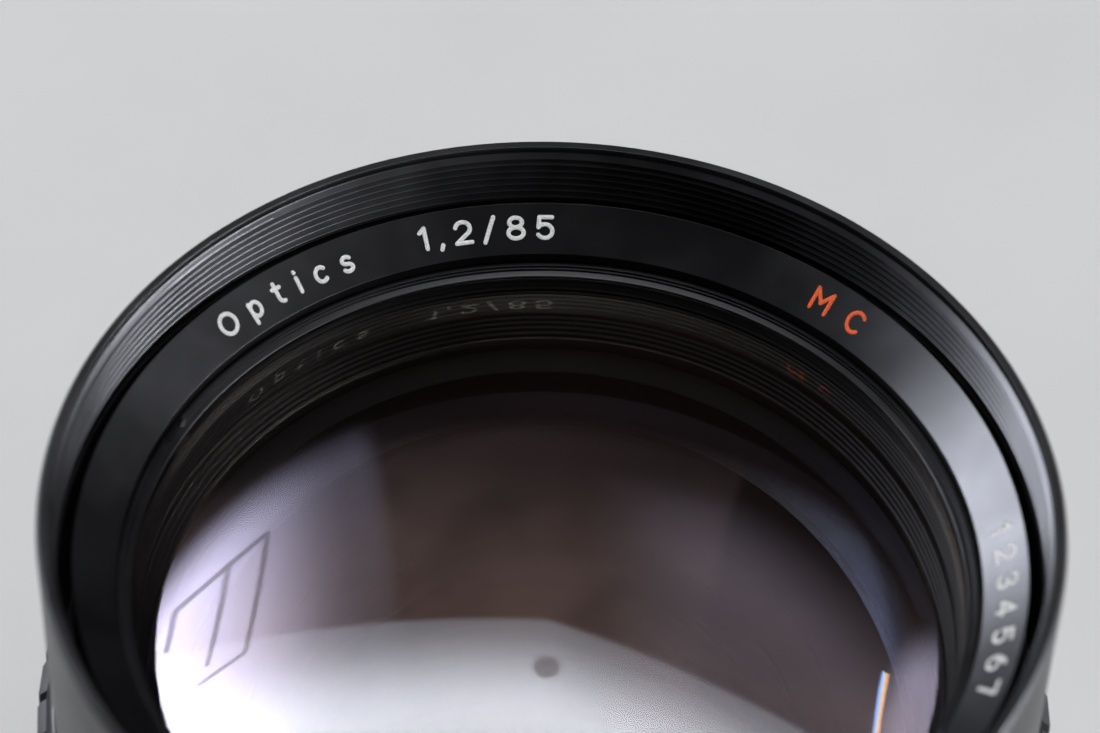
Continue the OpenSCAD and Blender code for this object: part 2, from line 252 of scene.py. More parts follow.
M = {
    "barrel": black_metal("black_barrel", rough=0.38, spec=0.36),
    "thread": black_metal("black_thread", (0.006, 0.006, 0.007), 0.31, 0.001, 0.0, 0.24),
    "name": black_metal("black_name_ring", (0.0022, 0.0022, 0.0026), 0.33, 0.005, 0.0004, 0.28),
    "retain": black_metal("black_retainer", (0.004, 0.004, 0.005), 0.34, 0.003, 0.002, 0.22),
    "baffle": black_metal("matt_baffle", (0.0025, 0.002, 0.0018), 0.4, 0.004, 0.002, 0.07),
    "scale": black_metal("black_scale", (0.006, 0.006, 0.0065), 0.4, 0.005, 0.001),
    "blade": black_metal("blade_black", (0.035, 0.035, 0.038), 0.38, 0.002, 0.001),
    "chrome": metal("satin_chrome", (0.78, 0.78, 0.8), 0.22),
    "steel": metal("turned_steel", (0.62, 0.62, 0.64), 0.28),
    "brass": metal("turned_brass", (0.78, 0.6, 0.3), 0.3),
    "white": paint("white_paint", (0.9, 0.91, 0.9)),
    "orange": paint("orange_paint", (1.0, 0.13, 0.01), 0.7),
    "amber": paint("yellow_paint", (0.85, 0.55, 0.06)),
    "red": paint("red_enamel", (0.7, 0.02, 0.015), 0.2),
    "rubber": rubber(),
}
# glass of each element: index, then (film in nm, film index) of the front and of the back surface
COAT = {
    1: (1.62, (62, 1.38), (104, 1.30)), 2: (1.70, (96, 1.32), (112, 1.28)),
    3: (1.65, (120, 1.27), (96, 1.30)), 4: (1.62, (104, 1.29), (110, 1.27)),
    5: (1.79, (110, 1.33), (118, 1.33)), 6: (1.79, (112, 1.33), (106, 1.33)),
    7: (1.70, (100, 1.30), (110, 1.30)), 8: (1.60, (112, 1.27), (110, 1.27)),
}
OPEN_ELEMENTS = (1, 2)                # light reaches the baffles through these
for i, (ior, front_film, back_film) in COAT.items():
    opened = i in OPEN_ELEMENTS
    M["glass%d" % i] = glass("coated_glass_%d_front" % i, ior, *front_film, opened)
    M["glass%d_back" % i] = glass("coated_glass_%d_back" % i, ior, *back_film, opened)

# ------------------------------------------------------------------ mesh helpers


def shade(me, sharp_degrees):
    """Smooth faces, with edges sharper than an angle kept crisp."""
    me.polygons.foreach_set("use_smooth", [True] * len(me.polygons))
    me.set_sharp_from_angle(angle=math.radians(sharp_degrees))


def link_mesh(name, verts, faces, mats, body, replaces=None, sharp=32.0, weld=0.0, paints=None):
    """A closed piece from vertices in mm, riding on a body. paints is each face's place in mats."""
    me = bpy.data.meshes.new(name)
    me.from_pydata([tuple(v) for v in np.asarray(verts, float) * MM], [], faces)
    if paints is not None:
        me.polygons.foreach_set("material_index", paints)
    bm = bmesh.new()
    bm.from_mesh(me)
    if weld:
        bmesh.ops.remove_doubles(bm, verts=bm.verts, dist=weld)
    bmesh.ops.recalc_face_normals(bm, faces=bm.faces)
    bm.to_mesh(me)
    bm.free()
    shade(me, sharp)
    for mat in mats:
        me.materials.append(mat)
    ob = bpy.data.objects.new(name, me)
    bpy.context.scene.collection.objects.link(ob)
    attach(ob, body)
    if replaces:
        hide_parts(replaces)
    return ob


def rounded(pts, rad=0.1, segs=3):
    """Rounds each corner of a closed outline. A third value at a point is that corner's own radius."""
    out = []
    P = [np.array(p[:2], float) for p in pts]
    R = [p[2] if len(p) > 2 else rad for p in pts]
    for i, p in enumerate(P):
        a, b = P[i - 1], P[(i + 1) % len(P)]
        d1, d2 = np.linalg.norm(p - a), np.linalg.norm(b - p)
        if min(d1, d2) < 1e-9:
            continue
        u, v = (a - p) / d1, (b - p) / d2
        turn = math.acos(max(-1, min(1, -float(u @ v))))
        if R[i] <= 0 or turn < math.radians(4):
            out.append(p)
            continue
        t = min(R[i] * math.tan(turn / 2), 0.42 * d1, 0.42 * d2)
        guard = min(0.35 * t, 0.06 * min(d1, d2))      # a support point keeps the flat beside the bend flat
        out.append(p + u * (t + guard))
        for k in range(segs + 1):
            s = k / segs
            out.append((1 - s) ** 2 * (p + u * t) + 2 * s * (1 - s) * p + s * s * (p + v * t))
        out.append(p + v * (t + guard))
    return np.array(out)


def grid_faces(m, n, close_m=True, close_n=True):
    """Faces of an m by n grid of vertices; m runs along the outline and n round the axis."""
    i = np.arange(m if close_m else m - 1)
    j = np.arange(n if close_n else n - 1)
    I, J = np.meshgrid(i, j, indexing="ij")
    I2, J2 = (I + 1) % m, (J + 1) % n
    return np.stack([I * n + J, I * n + J2, I2 * n + J2, I2 * n + J], -1).reshape(-1, 4).tolist()


def circle_angles(n):
    return np.linspace(0, 2 * np.pi, n, endpoint=False)


def spun(r, z, th):
    """Vertices at radius r, height z and angle th."""
    return np.stack([r * np.cos(th), r * np.sin(th), z], -1).reshape(-1, 3)


def revolve(name, pts, mat, body, replaces, n=320, rad=0.1, segs=3, warp=None, sharp=32.0):
    """Turns a closed outline round the axis. warp(r, z, theta) may give a new radius."""
    prof = rounded(pts, rad, segs)
    th = circle_angles(n)
    r = np.repeat(prof[:, :1], n, 1)
    z = np.repeat(prof[:, 1:2], n, 1)
    if warp is not None:
        r = warp(r, z, np.repeat(th[None, :], len(prof), 0))
    return link_mesh(name, spun(r, z, th), grid_faces(len(prof), n), [mat], body, replaces, sharp)


# ------------------------------------------------------------------ lettering


def arc(cx, cy, rx, ry, a0, a1):
    """Points along an ellipse from angle a0 to a1, in degrees."""
    k = max(6, int(abs(a1 - a0) / 9))
    t = np.radians(np.linspace(a0, a1, k + 1))
    return [(cx + rx * math.cos(a), cy + ry * math.sin(a)) for a in t]


# single-stroke glyphs on a cap height of 1: (advance width, strokes); ~ is the infinity sign
GLYPHS = {
    "0": (0.74, [arc(0.37, 0.5, 0.37, 0.5, 90, 450)]),
    "1": (0.28, [[(0, 0.8), (0.24, 1.0), (0.24, 0)]]),
    "2": (0.72, [arc(0.36, 0.68, 0.35, 0.32, 165, -38) + [(0.0, 0.0), (0.74, 0.0)]]),
    "3": (0.70, [arc(0.34, 0.755, 0.30, 0.245, 155, -90), arc(0.34, 0.255, 0.36, 0.255, 90, -155)]),
    "4": (0.74, [[(0.74, 0.27), (0, 0.27), (0.54, 1.0), (0.54, 0)]]),
    "5": (0.72, [[(0.68, 1.0), (0.10, 1.0), (0.05, 0.52)] + arc(0.35, 0.33, 0.36, 0.33, 142, -150)]),
    "6": (0.72, [arc(0.36, 0.31, 0.36, 0.31, 90, 450), arc(0.72, 0.31, 0.72, 0.72, 108, 180)]),
    "7": (0.70, [[(0, 1.0), (0.70, 1.0), (0.24, 0)]]),
    "8": (0.74, [arc(0.37, 0.765, 0.30, 0.235, 90, 450), arc(0.37, 0.265, 0.37, 0.265, 90, 450)]),
    ",": (0.10, [[(0.08, 0.04), (0.0, -0.16)]]),
    ".": (0.06, [[(0.03, 0.0), (0.03, 0.03)]]),
    "/": (0.48, [[(0, -0.1), (0.48, 1.08)]]),
    "O": (0.88, [arc(0.44, 0.5, 0.44, 0.5, 90, 450)]),
    "p": (0.56, [[(0.02, 0.70), (0.02, -0.28)], arc(0.29, 0.35, 0.27, 0.35, 180, 540)]),
    "t": (0.42, [[(0.16, 0.95)] + arc(0.36, 0.2, 0.20, 0.20, 180, 275), [(0.0, 0.70), (0.38, 0.70)]]),
    "i": (0.06, [[(0.03, 0.70), (0.03, 0)], [(0.03, 0.96), (0.03, 0.99)]]),
    "c": (0.54, [arc(0.30, 0.35, 0.29, 0.35, 48, 312)]),
    "s": (0.48, [arc(0.24, 0.525, 0.21, 0.175, 35, 270), arc(0.24, 0.175, 0.24, 0.175, 90, -150)]),
    "M": (0.86, [[(0, 0), (0, 1.0), (0.43, 0.38), (0.86, 1.0), (0.86, 0)]]),
    "C": (0.80, [arc(0.42, 0.5, 0.42, 0.5, 48, 312)]),
    "m": (0.84, [[(0, 0.7), (0, 0)], arc(0.21, 0.44, 0.21, 0.26, 180, 0) + [(0.42, 0)],
                 arc(0.63, 0.44, 0.21, 0.26, 180, 0) + [(0.84, 0)]]),
    "f": (0.40, [arc(0.36, 0.80, 0.20, 0.20, 85, 180) + [(0.16, 0)], [(0.0, 0.66), (0.36, 0.66)]]),
    "~": (1.10, [arc(0.27, 0.42, 0.27, 0.24, 0, 360), arc(0.83, 0.42, 0.27, 0.24, 180, 540)]),
}


def cut_at_corners(line, sharpest=40):
    """The line in parts that turn smoothly, so that none overlaps itself once it has width."""
    P = np.array(line, float)
    D = np.diff(P, axis=0)
    turn = np.degrees(np.abs((np.diff(np.arctan2(D[:, 1], D[:, 0])) + np.pi) % (2 * np.pi) - np.pi))
    ends = [0] + [int(i) + 1 for i in np.flatnonzero(turn > sharpest)] + [len(P) - 1]
    return [P[a:b + 1] for a, b in zip(ends, ends[1:])]


def lettering(string, size, track):
    """Parts of a text centred on 0, each with its place in its letter. track is the gap between letters,
    on a cap height of 1."""
    x = -(sum(GLYPHS[c][0] for c in string) + track * (len(string) - 1)) / 2
    for c in string:
        width, strokes = GLYPHS[c]
        for place, part in enumerate(part for s in strokes for part in cut_at_corners(s)):
            yield place, [((x + px) * size, (py - 0.5) * size) for px, py in part]
        x += width + track


def resample(line, step):
    """The same line with points no further apart than step."""
    P = [np.array(p, float) for p in line]
    out = [P[0]]
    for a, b in zip(P, P[1:]):
        k = max(1, int(math.ceil(np.linalg.norm(b - a) / step)))
        out += [a + (b - a) * (i + 1) / k for i in range(k)]
    return np.array(out)


def outline(line, half, caps=7):
    """Left and right edges of a stroke with round ends, as rows of an even strip."""
    P = np.array(line, float)
    closed = np.linalg.norm(P[0] - P[-1]) < 1e-6
    D = np.gradient(P, axis=0) if len(P) > 2 else np.repeat((P[1] - P[0])[None], 2, 0)
    if closed:
        D[0] = D[-1] = P[1] - P[-2]
    D /= np.maximum(np.linalg.norm(D, axis=1), 1e-9)[:, None]
    N = np.stack([-D[:, 1], D[:, 0]], 1)
    left, right = list(P + N * half), list(P - N * half)
    if not closed:
        for end, sign in ((0, -1), (-1, 1)):
            cap_left, cap_right = [], []
            for k in range(1, caps + 1):
                a = math.pi / 2 * k / (caps + 0.2)
                base = P[end] + D[end] * sign * math.sin(a) * half
                cap_left.append(base + N[end] * math.cos(a) * half)
                cap_right.append(base - N[end] * math.cos(a) * half)
            if end == 0:
                left, right = cap_left[::-1] + left, cap_right[::-1] + right
            else:
                left, right = left + cap_left, right + cap_right
        return np.array(left), np.array(right), closed
    return np.array(left[:-1]), np.array(right[:-1]), closed


class Writer:
    """Collects strokes on a curved face as one mesh. face(u, v, h) gives points in mm, h above the face."""

    def __init__(self, top=0.02, bottom=-0.05):
        self.face = None
        self.top, self.bottom = top, bottom
        self.verts, self.faces, self.count = [], [], 0

    def stroke(self, line, half):
        L, R, closed = outline(resample(line, 0.08), half)
        top = self.top + 0.0012 * (self.count % 5)     # strokes that cross don't share a plane
        self.count += 1
        m = len(L)
        rows = [(L, self.bottom), (L, top - 0.02), (L * 0.94 + R * 0.06, top),
                (L * 0.5 + R * 0.5, top + 0.004),
                (R * 0.94 + L * 0.06, top), (R, top - 0.02), (R, self.bottom)]
        base = len(self.verts)
        self.verts += [self.face(u, v, h) for pts, h in rows for u, v in pts]
        self.faces += [[base + i for i in quad] for quad in grid_faces(len(rows), m, True, closed)]
        if not closed:
            for col in (0, m - 1):
                self.faces.append([base + row * m + col for row in range(len(rows))])

    def text(self, string, size, half, track):
        for _, line in lettering(string, size, track):
            self.stroke(line, half)

    def build(self, name, mat, body, slot=None):
        return link_mesh(name, self.verts, self.faces, [mat], body, None, 50)


def cone_face(degrees, r_mid, z_mid, slope):
    """Lettering on the name ring: tops point outwards, reading clockwise from the front."""
    c, s = math.cos(slope), math.sin(slope)

    def face(u, v, h):
        r = r_mid + v * c - h * s
        a = math.radians(degrees) - u / r_mid
        return (r * math.cos(a), r * math.sin(a), z_mid + v * s + h * c)
    return face


def barrel_face(degrees, radius, z_mid, lean=0.0):
    """Lettering on the outside of a ring: tops point to the front of the lens."""
    def face(u, v, h):
        r = radius + h - v * lean
        a = math.radians(degrees) + u / radius
        return (r * math.cos(a), r * math.sin(a), z_mid + v)
    return face


# ------------------------------------------------------------------ front barrel with a real helical thread
PITCH = 0.75                          # filter thread M77 x 0.75
CREST, ROOT = 38.09, 38.50            # radii of its crests and roots
CREST_HALF, FLANK = 0.055, 0.265      # half width of a crest's flat, and width of a flank
FIRST_CREST = 1.545                   # depth of the first whole crest on the +Y side
LIP_R = 38.68                         # inner edge of the rim
LEAD_IN = ((-1.25, -0.92, -0.55, 0.0), (37.6, 38.13, 38.60, LIP_R))      # heights from the rim, and radii
UNDERCUT = ((-5.85, -5.65), (38.6, 37.6))                                # the same, for the groove below
THREAD_TOP, THREAD_LOW = RIM - 0.2, RIM - 6.2
SEAT_R = 36.86                        # bore that holds the name ring and the cell
ROWS_PER_TURN = 20                    # rows of vertices in one pitch of the helix


def thread_radius(zr, th):
    """Inner radius at height zr from the rim: a right-hand helix, cut by its lead-in and undercut."""
    turns = (zr + FIRST_CREST) / PITCH - (th - np.pi / 2) / (2 * np.pi)
    away = np.abs(turns - np.round(turns)) * PITCH
    r = np.clip(CREST + (away - CREST_HALF) * (ROOT - CREST) / FLANK, CREST, ROOT)
    return np.maximum(np.maximum(r, np.interp(zr, *LEAD_IN)), np.interp(zr, *UNDERCUT))


def front_barrel():
    """Outside and lower seat are turned; the threaded wall is a strip of rows that climb with the helix."""
    n = 400
    step = PITCH / ROWS_PER_TURN
    turned = rounded([(38.0, THREAD_LOW, 0), (38.0, 55.2), (SEAT_R, 55.2), (SEAT_R, 53.05), (37.95, 53.05),
                      (37.95, BARREL_LOW, 0.05), (38.5, BARREL_LOW, 0.12), (38.9, 58.0, 0),
                      (RIM_R, RIM - 0.33, 0.06), (39.28, RIM, 0.05), (LIP_R, RIM, 0.03),
                      (38.66, THREAD_TOP, 0)])
    first = next(i for i, p in enumerate(turned) if abs(p[1] - THREAD_LOW) < 1e-6)
    turned = np.roll(turned, -first, 0)
    rows = int(round((THREAD_TOP - THREAD_LOW) / step)) + ROWS_PER_TURN + 1
    th = circle_angles(n)
    k, t = np.meshgrid(np.arange(rows), th, indexing="ij")
    z = np.clip(THREAD_TOP - k * step + PITCH * t / (2 * np.pi), THREAD_LOW, THREAD_TOP)
    strip = spun(thread_radius(z - RIM, t), z, t)
    outside = spun(np.repeat(turned[:, :1], n, 1), np.repeat(turned[:, 1:], n, 1), th)
    faces, paints = [], []
    for i in range(rows - 1):
        for j in range(n):
            a, b = i * n + j, (i + 1) * n + j
            higher = i - ROWS_PER_TURN            # the strip closes on the rows one turn higher
            if j < n - 1:
                faces.append((a, b, b + 1, a + 1))
            elif higher < 0:
                faces.append((a, b, 0))
            else:
                faces.append((a, b, (higher + 1) * n, higher * n))
            paints.append(1)
    base, m = len(strip), len(turned)
    faces += [[base + i for i in quad] for quad in grid_faces(m, n, False)]
    paints += [0] * ((m - 1) * n)
    # both ends of the strip join the turned part
    for one, two, paint_slot in (((rows - 1) * n, base, 1), (base + (m - 1) * n, 0, 0)):
        for j in range(n):
            after = (j + 1) % n
            faces.append((one + j, two + j, two + after, one + after))
            paints.append(paint_slot)
    link_mesh("front_barrel_shell", np.concatenate([strip, outside]), faces, [M["barrel"], M["thread"]],
              "lens_unit", "front_barrel", 60, weld=2e-7, paints=paints)


front_barrel()

# ------------------------------------------------------------------ name ring, engraved and paint filled
NAME_LOW, NAME_TOP, NAME_R = extent("name_ring")
CONE_R, CONE_Z = 33.5, 66.0           # inner edge of its cone
SLOPE = math.atan2(NAME_TOP - CONE_Z, NAME_R - CONE_R)
TEXT_R, TEXT_SIZE, TEXT_HALF = 35.22, 1.68, 0.178                        # the last is half a stroke's width
TEXT_Z = NAME_TOP - (NAME_R - TEXT_R) * math.tan(SLOPE)
# text, its first and last angle in degrees, paint
INSCRIPTION = [("Optics", 139.6, 118.4, "white"), ("1,2/85", 109.2, 91.2, "white"),
               ("MC", 55.4, 47.0, "orange"), ("1234567", 9.6, -18.6, "white")]


def write_ring(top, bottom, half, by_paint=True):
    """The inscription as strokes from bottom to top, measured from the cone: a Writer for each paint, or
    one for each place in the letters. Strokes with the same place never touch."""
    writers = {}
    for text, first, last, col in INSCRIPTION:
        face = cone_face((first + last) / 2, TEXT_R, TEXT_Z, SLOPE)
        span = math.radians(first - last) * TEXT_R - 2 * TEXT_HALF
        track = (span / TEXT_SIZE - sum(GLYPHS[c][0] for c in text)) / (len(text) - 1)
        for place, line in lettering(text, TEXT_SIZE, track):
            key = col if by_paint else place
            deeper = 0 if by_paint else 0.004 * place      # floors that cross don't share a plane
            w = writers.setdefault(key, Writer(top, bottom - deeper))
            w.face = face
            w.stroke(line, half)
    return writers


def name_ring():
    ring = revolve("name_ring_body",
                   [(35.05, NAME_LOW), (NAME_R, NAME_LOW), (NAME_R, NAME_TOP, 0.035),
                    (CONE_R, CONE_Z, 0.05), (CONE_R, 65.15, 0.05), (35.05, 65.15)],
                   M["name"], "lens_unit", "name_ring", n=768, rad=0.08)
    cutters = [w.build("cutter_%d" % place, M["name"], "lens_unit")
               for place, w in write_ring(0.12, -0.13, TEXT_HALF + 0.012, by_paint=False).items()]
    for cutter in cutters:
        mod = ring.modifiers.new("engrave", "BOOLEAN")
        mod.object = cutter
        mod.solver = "MANIFOLD"
    bpy.context.view_layer.update()
    engraved = ring.evaluated_get(bpy.context.evaluated_depsgraph_get())
    me = bpy.data.meshes.new_from_object(engraved)
    bm = bmesh.new()
    bm.from_mesh(me)
    bmesh.ops.triangulate(bm, faces=bm.faces)
    bmesh.ops.dissolve_degenerate(bm, edges=bm.edges, dist=1e-6)
    bmesh.ops.delete(bm, geom=[v for v in bm.verts if not v.link_faces], context="VERTS")
    bm.to_mesh(me)
    bm.free()
    shade(me, 32)
    ring.modifiers.clear()
    ring.data = me
    for cutter in cutters:
        bpy.data.objects.remove(cutter)
    for col, w in write_ring(-0.035, -0.16, TEXT_HALF + 0.004).items():
        w.build("name_ring_paint_" + col, M[col], "lens_unit", "black_metal")


name_ring()

# ------------------------------------------------------------------ front retaining ring, with spanner slots
RETAIN_LOW, RETAIN_TOP, RETAIN_R = extent("front_retaining_ring")
SLOT_ANGLE = math.radians(155.15)     # the other slot is across from it
SLOT_HALF = 1.08 / 33.0               # half of a slot's width, as an angle
SLOT_FLOOR = 64.66
SLOT_WALL = 0.0008                    # angle between the two rows of vertices that make a wall


def front_retainer():
    """A stepped ring, with its top cut down to the floor inside each slot."""
    profile = rounded([(RETAIN_R, RETAIN_LOW, 0), (RETAIN_R, RETAIN_TOP), (33.08, RETAIN_TOP),
                       (33.02, 64.86, 0.02), (32.92, 64.86, 0.02), (32.86, SLOT_FLOOR, 0.02),
                       (32.66, 64.62), (32.42, 64.56), (32.36, 64.50, 0.01)], 0.03, 2)
    n = 720
    th = circle_angles(n)
    # the nearest angles are pulled on to the slots' walls, so that these stand upright
    for side in (-1, 1):
        for middle in (SLOT_ANGLE, SLOT_ANGLE + np.pi):
            for shift in (-SLOT_WALL, SLOT_WALL):
                wall = (middle + side * SLOT_HALF + shift) % (2 * np.pi)
                nearest = int(np.argmin(np.abs((th - wall + np.pi) % (2 * np.pi) - np.pi)))
                th[nearest] = wall
    th = np.sort(th)
    inside = np.abs((th - SLOT_ANGLE + np.pi / 2) % np.pi - np.pi / 2) < SLOT_HALF
    r = np.repeat(profile[:, :1], n, 1)
    z = np.repeat(profile[:, 1:], n, 1)
    cut = (z > SLOT_FLOOR + 0.04) & (r < RETAIN_R - 0.04) & inside[None, :]
    link_mesh("front_retaining_ring_body", spun(r, np.where(cut, SLOT_FLOOR, z), th),
              grid_faces(len(profile), n), [M["retain"]],
              "lens_unit", "front_retaining_ring", 30)


front_retainer()

# ------------------------------------------------------------------ glass


def lens_face(pole, curve, r):
    """Height of a spherical face at radius r. A positive curve has its centre behind the pole."""
    sag = abs(curve) - np.sqrt(curve * curve - r * r)
    return pole - sag if curve > 0 else pole + sag


def element(i, body, front, back, n, flat_top=False, flat_low=False):
    """A glass element. front and back are (height of the pole, curve); a flat can stop either curve."""
    low, top, rad = extent("element_%d" % i)
    r = rad * np.linspace(0, 1, 72)
    zf = np.minimum(lens_face(*front, r), top if flat_top else math.inf)
    zb = np.maximum(lens_face(*back, r), low if flat_low else -math.inf)
    bevel = 0.12
    prof = list(zip(r[1:-1], zf[1:-1]))
    edge_row = len(prof)
    prof += [(rad - bevel, zf[-1] + (zf[-2] - zf[-1]) * 0.3), (rad, zf[-1] - bevel),
             (rad, zb[-1] + bevel), (rad - bevel, zb[-1])]
    prof += list(zip(r[-2:0:-1], zb[-2:0:-1]))
    prof = np.array(prof)
    m = len(prof)
    th = circle_angles(n)
    verts = spun(np.repeat(prof[:, :1], n, 1), np.repeat(prof[:, 1:], n, 1), th)
    verts = np.concatenate([verts, [[0, 0, zf[0]], [0, 0, zb[0]]]])
    faces = grid_faces(m, n, False)
    front_pole, back_pole = m * n, m * n + 1
    faces += [[front_pole, j, (j + 1) % n] for j in range(n)]
    faces += [[back_pole, (m - 1) * n + (j + 1) % n, (m - 1) * n + j] for j in range(n)]
    paints = np.zeros(len(faces), int)
    paints[edge_row * n:(edge_row + 3) * n] = 1            # the ground edge is blackened
    paints[(edge_row + 3) * n:(m - 1) * n] = 2
    paints[-n:] = 2
    link_mesh("element_%d_glass" % i, verts, faces, [M["glass%d" % i], M["baffle"], M["glass%d_back" % i]],
              body, "element_%d" % i, 30, paints=paints)


POLE = RIM - 1.2                      # front pole of the front element
element(1, "lens_unit", (POLE, 75), (POLE - 9.8, 300), 384)
element(2, "lens_unit", (61.2, 46), (51.7, 78), 256)
element(3, "lens_unit", (51.2, 84), (48.8, 27.5), 256, flat_low=True)
element(4, "lens_unit", (25.62, -30), (23.4, 90), 192, flat_top=True)
element(5, "lens_unit", (23.385, 90), (13.0, -42), 192)
element(6, "lens_unit", (12.6, 200), (7.3, -60), 192)
element(7, "floating_group", (6.6, 68), (2.1, -300), 192)
element(8, "floating_group", (-0.49, -75), (-2.5, -800), 192, flat_top=True)

# ------------------------------------------------------------------ baffle seen through the glass


def baffle_ring():
    """Two groups of five turned ridges on a tapering bore, with a plain land between them."""
    low, top, rad = extent("baffle_ring")
    bore_top, bore_low, first, last, pitch = 31.26, 28.0, 59.9, 52.6, 0.6
    taper = (bore_top - bore_low) / (first - last)
    prof = [(rad, 52.22), (rad, top), (31.3, top), (bore_top, first)]
    for start in (first, 56.1):
        for k in range(5):
            z = start - pitch * k
            r = bore_top - (first - z) * taper
            prof += [(r, z - 0.1), (r - 0.02, z - 0.36), (r - 0.262, z - 0.44), (r - 0.27, z - 0.56)]
    prof += [(27.95, 52.5), (27.95, low), (28.6, low), (28.6, 52.22)]
    revolve("baffle_ring_body", prof, M["baffle"], "lens_unit", "baffle_ring",
            n=320, rad=0.03, segs=1, sharp=25)


baffle_ring()

# ------------------------------------------------------------------ focus ring, rubber grip and scales
FOCUS_LOW, FOCUS_TOP, FOCUS_R = extent("focus_ring")
SKIRT_R = 38.0                        # the scales are on the ring's skirt
revolve("focus_ring_body",
        [(36.5, FOCUS_LOW), (37.8, FOCUS_LOW), (SKIRT_R, FOCUS_LOW + 0.2, 0.15), (SKIRT_R, 31.2, 0.12),
         (38.4, 31.6), (38.4, 49.5), (FOCUS_R, 49.5, 0.15), (FOCUS_R, FOCUS_TOP - 0.25, 0.15),
         (FOCUS_R - 0.2, FOCUS_TOP, 0.15), (35.1, FOCUS_TOP), (35.1, 49.68), (37.25, 49.68),
         (37.25, 24), (36.5, 24)],
        M["scale"], "focus_ring_unit", "focus_ring", n=384)


def rubber_grip():
    """A sleeve with bevelled pads standing in rows and columns."""
    z_low, z_top, r_pad = extent("rubber_grip")
    r_groove, r_bore, border = 39.05, 38.43, 0.6
    gap, bevel = 0.75, 0.16
    inner = -9                        # marks the rows of vertices on the bore

    def pads(length, count):
        """Places along a row of pads, and the height there: 0 in a groove, 1 on a pad."""
        step = length / count
        pad = ((0, 0), (gap, 0), (gap + bevel, 0.86), (gap + bevel * 2.2, 1),
               (step - bevel * 1.2, 1), (step, 0.86))
        return np.array([(i * step + place, height) for i in range(count) for place, height in pad])

    up = pads(z_top - z_low - 2 * border, 6)
    around = pads(2 * math.pi * r_pad, 60)
    z = np.concatenate([[z_low, z_low], z_low + border + up[:, 0], [z_top - border, z_top, z_top]])
    rise = np.concatenate([[inner, 0.75], up[:, 1], [0.86, 0.75, inner]])
    height = np.minimum(rise[:, None], around[None, :, 1])
    r = r_groove + np.clip(height, 0, 1) * (r_pad - r_groove)
    r[rise == inner] = r_bore
    r[[1, -2]] = r_groove + 0.25
    r[2] = np.minimum(r[2], r_groove + 0.3)
    th = around[:, 0] / r_pad
    link_mesh("rubber_grip_sleeve", spun(r, np.repeat(z[:, None], len(th), 1), th),
              grid_faces(len(z), len(th)), [M["rubber"]],
              "focus_ring_unit", "rubber_grip", 28, weld=1e-7)


rubber_grip()

FOCAL, LIFT, TURN = 85.0, 8.8, 260.0  # focal length, travel of the lens unit and turn of the ring for it
FOOT = 0.3048


def focus_angle(metres):
    """How far the ring turns, in degrees, to focus at a distance from the film."""
    d = metres / MM
    return (0.5 * (d - math.sqrt(d * d - 4 * FOCAL * d)) - FOCAL) / LIFT * TURN


def distance_scale(name, paint_name, labels, unit, metres_each, z, size, infinity_size, half, unit_half):
    """Numbers at the angles where their distance is in focus, the infinity sign, and the unit beside it."""
    w = Writer()
    for label in labels:
        w.face = barrel_face(FRONT - focus_angle(float(label) * metres_each), SKIRT_R, z)
        w.text(label, size, half, 0.3)
    w.face = barrel_face(FRONT, SKIRT_R, z)
    w.text("~", infinity_size, half, 0.36)
    w.face = barrel_face(FRONT + 9, SKIRT_R, z)
    w.text(unit, size, unit_half, 0.36)
    w.build(name, M[paint_name], "focus_ring_unit", "black_metal")


distance_scale("distance_scale_metres", "white", ("10", "5", "3", "2", "1.5", "1.2", "1"), "m",
               1.0, 25.2, 1.9, 2.0, 0.16, 0.15)
distance_scale("distance_scale_feet", "amber", ("30", "15", "10", "8", "6", "5", "4", "3.5"), "ft",
               FOOT, 28.9, 1.7, 1.8, 0.15, 0.15)

# ------------------------------------------------------------------ depth scale
DEPTH_LOW, DEPTH_TOP, DEPTH_R = extent("depth_scale_ring")
revolve("depth_scale_ring_body",
        [(36.45, DEPTH_LOW), (36.7, DEPTH_LOW), (DEPTH_R, DEPTH_LOW + 0.8, 0.15),
         (DEPTH_R, DEPTH_TOP - 0.25, 0.12), (DEPTH_R - 0.2, DEPTH_TOP), (36.45, DEPTH_TOP)],
        M["scale"], "fixed_barrel", "depth_scale_ring", n=384)


def depth_scale():
    """A pair of ticks and numbers for each stop, either side of the index line."""
    w = Writer()
    for stop, degrees in ((16, 24), (11, 17), (8, 12.5), (4, 6.5)):
        for side in (-1, 1):
            w.face = barrel_face(FRONT + side * degrees, DEPTH_R, 0)
            w.stroke([(0, 20.1), (0, 21.7)], 0.09)
            w.face = barrel_face(FRONT + side * degrees, DEPTH_R, 18.4)
            w.text(str(stop), 1.6, 0.14, 0.26)
    w.face = barrel_face(FRONT, DEPTH_R, 0)
    w.stroke([(0, 21.2), (0, 22.0)], 0.14)
    w.stroke([(0, 16.6), (0, 18.6)], 0.14)
    w.build("depth_scale_marks", M["white"], "fixed_barrel", "black_metal")


depth_scale()

# ------------------------------------------------------------------ aperture ring
AP_LOW, AP_TOP, AP_R = extent("aperture_ring")
AP_BORE = 31.05
FLUTES = 30
FLUTE_LOW, FLUTE_TOP, FLUTE_DEPTH = 4.95, 9.45, 0.55


def flutes(r, z, th):
    """Finger flutes on the outside of the ring, with lands between them."""
    place = (th * FLUTES / (2 * np.pi) + 0.5) % 1.0
    land = np.clip((np.abs(place - 0.5) - 0.16) / 0.06, 0, 1)
    ends = np.clip((z - FLUTE_LOW) / 0.25, 0, 1) * np.clip((FLUTE_TOP - z) / 0.25, 0, 1)
    return np.where(r > 33.0, r - FLUTE_DEPTH * (1 - land) * ends, r)


